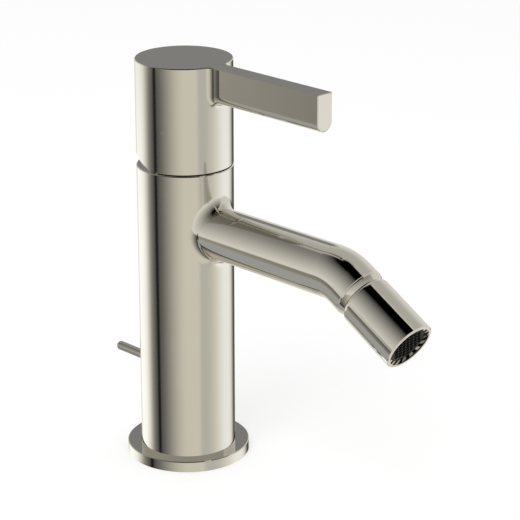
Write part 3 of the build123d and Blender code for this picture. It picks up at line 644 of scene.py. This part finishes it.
@dataclass
class Nozzle(SubAssembly):
    """The swivelling outlet with its ball joint and aerator."""

    finishes: dict[str, Finish] = field(default_factory=lambda: {
        "joint_cap": POLISHED_NICKEL,
        "nozzle_shell": POLISHED_NICKEL,
        "ball_seat": WHITE_PLASTIC,
        "ball_seal": RUBBER,
        "ball_nipple": TURNED_BRASS,
        "aerator_seal": RUBBER,
        "aerator_housing": POLISHED_NICKEL,
        "diffuser_plate": WHITE_PLASTIC,
        "mesh_screen": STRAINER_STEEL,
        "honeycomb_grille": GRILLE_PLASTIC,
    })


@dataclass
class WasteRod(SubAssembly):
    """The pull rod at the rear, with its slot lining."""

    finishes: dict[str, Finish] = field(default_factory=lambda: {
        "finger_rod": ROD_NICKEL,
        "lift_rod": TURNED_BRASS,
        "rod_screw": STEEL,
        "rod_bush": BLACK_PLASTIC,
        "slot_liner": BLACK_PLASTIC,
    })


# The studio


class CardPlan(Effect):
    """The shape of one light card or flag, by direction in degrees."""

    title = "light_card"
    numbers = {
        "Azimuth": 0.0, "Half Width": 10.0, "Left Fade": 10.0, "Right Fade": 10.0,
        "Low": -20.0, "Low Fade": 5.0, "High": 20.0, "High Fade": 5.0,
    }

    def inside(self, tree: Tree, entry: bpy.types.Node) -> bpy.types.NodeSocket:
        """Multiply soft edges on the four sides of the card.

        Args:
            tree: The group's tree.
            entry: The group's input node.

        Returns:
            How much of the card is seen in a direction.
        """
        split = tree.add("ShaderNodeSeparateXYZ")
        tree.feed(split.inputs[0], entry.outputs["Vector"])
        turn = tree.maths("SUBTRACT", split.outputs[0], entry.outputs["Azimuth"])
        side = tree.maths("WRAP", turn, HALF_TURN, -HALF_TURN)
        half = entry.outputs["Half Width"]
        right_edge = tree.maths("ADD", half, entry.outputs["Right Fade"])
        right = tree.ramp(side, half, right_edge, 1.0, 0.0)
        mirrored = tree.maths("MULTIPLY", side, -1.0)
        left_edge = tree.maths("ADD", half, entry.outputs["Left Fade"])
        left = tree.ramp(mirrored, half, left_edge, 1.0, 0.0)
        rise = split.outputs[1]
        floor_edge = tree.maths("SUBTRACT", entry.outputs["Low"], entry.outputs["Low Fade"])
        above = tree.ramp(rise, floor_edge, entry.outputs["Low"])
        roof_edge = tree.maths("ADD", entry.outputs["High"], entry.outputs["High Fade"])
        below = tree.ramp(rise, entry.outputs["High"], roof_edge, 1.0, 0.0)
        across = tree.maths("MULTIPLY", left, right)
        upright = tree.maths("MULTIPLY", above, below)
        return tree.maths("MULTIPLY", across, upright)


@dataclass(frozen=True)
class Card:
    """A soft panel or a dark flag round the object, seen only in reflections.

    Azimuth 0 faces the camera, and it grows to the right of the picture.
    """

    name: str
    level: float
    azimuth: float
    half_width: float
    left_fade: float
    right_fade: float
    low: float
    low_fade: float
    high: float
    high_fade: float
    tint: Colour = (1.0, 1.0, 1.0)
    dims_upwards: bool = False

    def colour(self) -> Colour:
        """Return the card's light, as a colour."""
        return tuple(self.level * part for part in self.tint)


WARM = (1.0, 0.955, 0.83)
PALE = (1.0, 0.98, 0.92)

CARDS = (
    Card("upper_near_wall", 0.96, -20.0, 115.0, 8.0, 8.0, -10.0, 4.0, 95.0, 1.0, PALE,
         dims_upwards=True),
    Card("upper_far_wall", 0.57, 170.0, 55.0, 12.0, 12.0, -10.0, 4.0, 95.0, 1.0, PALE),
    Card("left_table_flag", 0.10, -74.0, 0.0, 44.0, 78.0, -95.0, 1.0, -15.0, 6.0),
    Card("left_black_seam", 0.02, -72.0, 1.5, 5.0, 5.0, -95.0, 1.0, -11.0, 8.0),
    Card("rear_left_softbox", 1.37, -134.0, 8.0, 24.0, 36.0, -40.0, 2.0, -19.0, 12.0),
    Card("right_grey_card", 0.64, 42.0, 3.0, 12.0, 34.0, -95.0, 1.0, -12.0, 6.0, PALE),
    Card("right_softbox", 1.16, 114.0, 6.0, 44.0, 24.0, -60.0, 4.0, -8.0, 10.0),
    Card("rear_right_flag", 0.09, 161.0, 6.0, 22.0, 9.0, -60.0, 4.0, -8.0, 5.0),
    Card("under_grey", 0.46, -108.0, 24.0, 10.0, 12.0, -95.0, 1.0, -27.0, 1.5),
    Card("upper_far_edge", 0.84, 150.0, 40.0, 20.0, 12.0, -10.0, 4.0, 14.0, 34.0, PALE),
    Card("rear_dim_patch", 0.27, -178.0, 4.5, 5.0, 5.0, 12.0, 2.0, 26.0, 6.0),
    Card("overhead_far_flag", 0.0, 170.0, 70.0, 20.0, 20.0, 82.0, 7.0, 95.0, 1.0),
)


@dataclass
class Studio:
    """White surroundings, soft light, the floor and the camera."""

    base_level: float = 0.82
    ambient: float = 0.70
    floor_size: float = 24.0
    floor_albedo: float = 0.62
    floor_lift: float = 0.50
    dimming_top: float = 70.0
    dimming_foot: float = -12.0
    camera_place: Point = (-0.5408, -0.5987, 0.3736)
    camera_reach: float = 60.0
    camera_heading: tuple[float, float] = (0.698, 0.716)
    camera_down: float = 19.68
    focal_pixels: float = 2053.9
    picture_pixels: float = 520.0
    sensor_width: float = 36.0
    key_watts: float = 6.5
    key_size: float = 1.1
    key_place: Point = (-0.9, -0.4, 1.1)
    key_aim: Point = (0.0, -0.03, 0.08)

    def build(self) -> None:
        """Build all that stands round the object."""
        self.surround()
        self.floor()
        self.key_light()
        self.camera()

    def surround(self) -> None:
        """Build the world: white to the camera, cards and flags in reflections."""
        world = bpy.data.worlds.new("studio")
        bpy.context.scene.world = world
        world.use_nodes = True
        world.cycles.sampling_method = "NONE"
        tree = Tree(world.node_tree)
        ray = tree.add("ShaderNodeTexCoord").outputs["Generated"]
        turned = tree.add("ShaderNodeVectorRotate", rotation_type="Z_AXIS")
        tree.feed(turned.inputs["Vector"], ray)
        turned.inputs["Angle"].default_value = math.radians(-CAMERA_AZIMUTH)
        split = tree.add("ShaderNodeSeparateXYZ")
        tree.feed(split.inputs[0], turned.outputs[0])
        degrees = HALF_TURN / math.pi
        azimuth = tree.maths("ARCTAN2", split.outputs[1], split.outputs[0])
        azimuth = tree.maths("MULTIPLY", azimuth, degrees)
        rise = tree.maths("MULTIPLY", tree.maths("ARCSINE", split.outputs[2]), degrees)
        joined = tree.add("ShaderNodeCombineXYZ")
        tree.feed(joined.inputs[0], azimuth)
        tree.feed(joined.inputs[1], rise)
        light = self.cards(tree, joined.outputs[0], rise)
        seen = tree.add("ShaderNodeBackground")
        seen.inputs["Color"].default_value = WHITE
        mirrored = tree.add("ShaderNodeBackground")
        tree.feed(mirrored.inputs["Color"], light)
        soft = tree.add("ShaderNodeBackground")
        soft.inputs["Color"].default_value = WHITE
        soft.inputs["Strength"].default_value = self.ambient
        path = tree.add("ShaderNodeLightPath")
        glossy = tree.maths("MAXIMUM", path.outputs["Is Glossy Ray"],
                            path.outputs["Is Transmission Ray"])
        first = tree.add("ShaderNodeMixShader")
        tree.feed(first.inputs[0], glossy)
        tree.feed(first.inputs[1], soft.outputs[0])
        tree.feed(first.inputs[2], mirrored.outputs[0])
        second = tree.add("ShaderNodeMixShader")
        tree.feed(second.inputs[0], path.outputs["Is Camera Ray"])
        tree.feed(second.inputs[1], first.outputs[0])
        tree.feed(second.inputs[2], seen.outputs[0])
        leave = tree.add("ShaderNodeOutputWorld")
        tree.feed(leave.inputs["Surface"], second.outputs[0])
        log.info("studio surround: %d cards", len(CARDS))

    def cards(self, tree: Tree, direction: bpy.types.NodeSocket,
              rise: bpy.types.NodeSocket) -> bpy.types.NodeSocket:
        """Lay the cards over an even surround, one on another.

        Args:
            tree: The world's tree.
            direction: Azimuth and elevation in degrees.
            rise: The elevation alone.

        Returns:
            The light that a reflection shows.
        """
        plan = CardPlan()
        light: object = tuple(self.base_level * part for part in WARM)
        for card in CARDS:
            mask = plan.place(
                tree, direction, Azimuth=card.azimuth, Half_Width=card.half_width,
                Left_Fade=card.left_fade, Right_Fade=card.right_fade, Low=card.low,
                Low_Fade=card.low_fade, High=card.high, High_Fade=card.high_fade)
            shade: object = card.colour()
            if card.dims_upwards:
                dimmed = tree.ramp(
                    rise, self.dimming_foot, self.dimming_top, 1.0, 0.0, soft=False)
                shade = tree.blend(dimmed, BLACK, shade)
            light = tree.blend(mask, light, shade)
        return light

    def floor(self) -> None:
        """Build the plain white floor, which keeps the object's shadow."""
        bpy.ops.object.select_all(action="DESELECT")
        bpy.ops.mesh.primitive_plane_add(size=self.floor_size, location=(0.0, 0.0, 0.0))
        plane = bpy.context.object
        plane.name = "studio_floor"
        made = bpy.data.materials.new("studio_floor")
        made.use_nodes = True
        tree = Tree(made.node_tree)
        paint = tree.add("ShaderNodeBsdfDiffuse")
        shade = self.floor_albedo
        paint.inputs["Color"].default_value = (shade, shade, shade, 1.0)
        path = tree.add("ShaderNodeLightPath")
        seen = tree.maths("MAXIMUM", path.outputs["Is Camera Ray"],
                          path.outputs["Is Glossy Ray"])
        seen = tree.maths("MAXIMUM", seen, path.outputs["Is Transmission Ray"])
        lift = tree.add("ShaderNodeEmission")
        tree.feed(lift.inputs["Strength"], tree.maths("MULTIPLY", seen, self.floor_lift))
        both = tree.add("ShaderNodeAddShader")
        tree.feed(both.inputs[0], paint.outputs[0])
        tree.feed(both.inputs[1], lift.outputs[0])
        leave = tree.add("ShaderNodeOutputMaterial")
        tree.feed(leave.inputs["Surface"], both.outputs[0])
        plane.data.materials.append(made)
        plane.visible_glossy = False

    def key_light(self) -> None:
        """Hang one broad lamp that shapes the plastics and the soft shadow."""
        lamp = bpy.data.lights.new("key_light", "AREA")
        lamp.shape = "DISK"
        lamp.size = self.key_size
        lamp.energy = self.key_watts
        holder = bpy.data.objects.new("key_light", lamp)
        bpy.context.scene.collection.objects.link(holder)
        place = Vector(self.key_place)
        holder.location = place
        aim = Vector(self.key_aim) - place
        holder.rotation_euler = aim.to_track_quat("-Z", "Y").to_euler()
        holder.visible_glossy = False
        holder.visible_camera = False

    def camera(self) -> None:
        """Stand the camera where the photograph was taken from."""
        lens = bpy.data.cameras.new("camera")
        lens.sensor_width = self.sensor_width
        lens.lens = self.focal_pixels / self.picture_pixels * self.sensor_width
        lens.clip_end = self.camera_reach
        holder = bpy.data.objects.new("camera", lens)
        bpy.context.scene.collection.objects.link(holder)
        down = math.radians(self.camera_down)
        along = math.cos(down)
        aim = Vector((self.camera_heading[0] * along, self.camera_heading[1] * along,
                      -math.sin(down)))
        holder.location = self.camera_place
        holder.rotation_euler = aim.to_track_quat("-Z", "Y").to_euler()
        bpy.context.scene.camera = holder
        bpy.context.scene.view_settings.view_transform = "Standard"


def main() -> None:
    """Build the scene in order."""
    logging.basicConfig(level=logging.INFO, format="%(name)s: %(message)s")
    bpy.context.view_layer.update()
    paints = Paintbox()
    for part in (Foot, Column, Cartridge, Handle, Nozzle, WasteRod):
        part(paints).dress()
        log.info("%s dressed", part.__name__)
    Studio().build()


if __name__ == "__main__":
    main()
